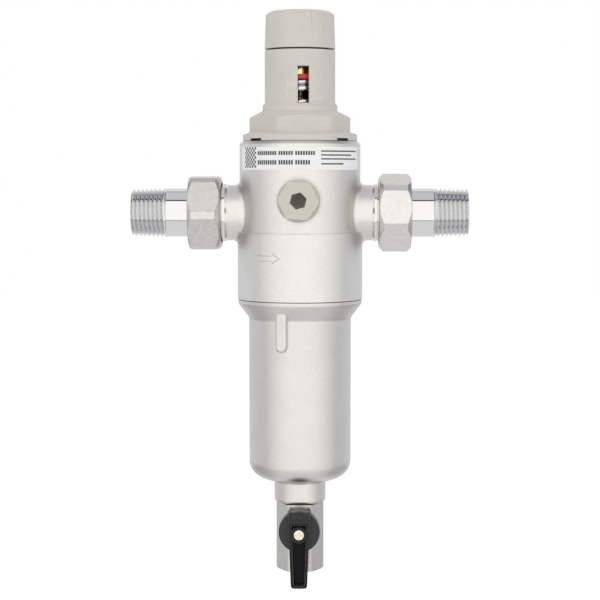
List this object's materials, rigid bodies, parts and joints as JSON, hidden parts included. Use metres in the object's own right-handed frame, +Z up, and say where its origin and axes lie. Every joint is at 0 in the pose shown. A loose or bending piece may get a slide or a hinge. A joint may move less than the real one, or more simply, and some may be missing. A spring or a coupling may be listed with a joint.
{
  "type": "self cleaning filter",
  "caption": "Self cleaning water filter for a half inch pipe, with union ends, a backwash insert in a bowl, a ball valve drain and a pressure reducer set by a top knob.",
  "frame": {"origin": "where the pipe axis crosses the filter's vertical axis", "axes": "+X along the pipe with the flow, from inlet to outlet; -Y the front with the label and the drain lever; +Z up towards the knob"},
  "size_m": [0.142, 0.0662, 0.2421],
  "materials": {
    "plated_casting": "satin nickel plating, bead blasted",
    "plated_hex": "nickel plated, machined",
    "bright_plate": "bright nickel plating",
    "bare_brass": "machined brass",
    "grey_plastic": "fine matt moulding",
    "black_plastic": "matt moulding",
    "white_plastic": "plain moulding",
    "red_plastic": "plain moulding",
    "spring_steel": "bright wire",
    "stainless": "fine mesh and turned steel",
    "ball_chrome": "polished",
    "screw_steel": "plated screw",
    "black_rubber": "sealing rubber",
    "seat_plastic": "low friction plastic",
    "label_film": "plain printed film"
  },
  "bodies": {
    "housing": {"body_casting": "plated_casting", "filter_bowl": "plated_casting", "rating_label": "label_film", "gauge_plug_front": "plated_casting", "gauge_plug_rear": "plated_casting", "plug_seal_front": "black_rubber", "plug_seal_rear": "black_rubber", "inlet_tailpiece": "bright_plate", "outlet_tailpiece": "bright_plate", "inlet_gasket": "black_rubber", "outlet_gasket": "black_rubber", "bowl_seal": "black_rubber", "spring_bonnet": "grey_plastic", "thrust_washer": "stainless", "adjusting_spring": "spring_steel", "diaphragm": "black_rubber", "slip_ring": "white_plastic", "valve_cartridge": "white_plastic", "cartridge_guide": "white_plastic", "cartridge_seal": "black_rubber", "backwash_spring": "spring_steel", "drain_valve_body": "plated_hex", "drain_seal": "black_rubber", "ball_seat_upper": "seat_plastic", "ball_seat_lower": "seat_plastic", "seat_retainer": "bare_brass", "stem_packing": "seat_plastic", "gland_nut": "bare_brass"},
    "knob": {"adjusting_knob": "grey_plastic", "adjusting_screw": "bare_brass"},
    "setting": {"setting_nut": "bare_brass", "indicator_ring": "red_plastic"},
    "regulator": {"spring_plate": "stainless", "diaphragm_washer": "bare_brass", "regulator_spindle": "bare_brass", "valve_disc": "black_rubber", "spindle_nut": "stainless"},
    "insert": {"filter_head": "white_plastic", "upper_screen": "stainless", "filter_cage": "white_plastic", "main_screen": "stainless", "filter_foot": "white_plastic"},
    "rotor": {"backwash_rotor": "white_plastic"},
    "lever": {"drain_lever": "black_plastic", "lever_screw": "screw_steel", "valve_stem": "bare_brass", "valve_ball": "ball_chrome"},
    "inlet_nut": {"inlet_union_nut": "plated_hex"},
    "outlet_nut": {"outlet_union_nut": "plated_hex"}
  },
  "joints": [
    {"name": "knob_turn", "type": "hinge", "parent": "housing", "child": "knob", "pos_m": [0, 0, 0.0687], "axis": [0, 0, -1], "range_deg": [0, 2256]},
    {"name": "setting_slide", "type": "slide", "parent": "housing", "child": "setting", "axis": [0, 0, -1], "range_m": [0, 0.0094], "deforming": ["adjusting_spring"]},
    {"name": "regulator_slide", "type": "slide", "parent": "housing", "child": "regulator", "axis": [0, 0, 1], "range_m": [0, 0.0019], "stiffness_N_per_m": 4000, "springref_m": -0.002, "deforming": ["diaphragm"]},
    {"name": "backwash_slide", "type": "slide", "parent": "housing", "child": "insert", "axis": [0, 0, -1], "range_m": [0, 0.005], "stiffness_N_per_m": 3000, "springref_m": -0.004, "deforming": ["backwash_spring"]},
    {"name": "rotor_spin", "type": "hinge", "parent": "insert", "child": "rotor", "pos_m": [0, 0, -0.09773], "axis": [0, 0, 1], "continuous": true},
    {"name": "lever_turn", "type": "hinge", "parent": "housing", "child": "lever", "pos_m": [0, -0.0131, -0.134], "axis": [0, 1, 0], "range_deg": [0, 90]},
    {"name": "inlet_nut_turn", "type": "hinge", "parent": "housing", "child": "inlet_nut", "pos_m": [-0.0402, 0, 0], "axis": [-1, 0, 0], "continuous": true},
    {"name": "outlet_nut_turn", "type": "hinge", "parent": "housing", "child": "outlet_nut", "pos_m": [0.0402, 0, 0], "axis": [1, 0, 0], "continuous": true}
  ],
  "couplings": [
    {"joint": "knob_turn", "follows": "setting_slide", "rad_per_m": 4188.8}
  ]
}
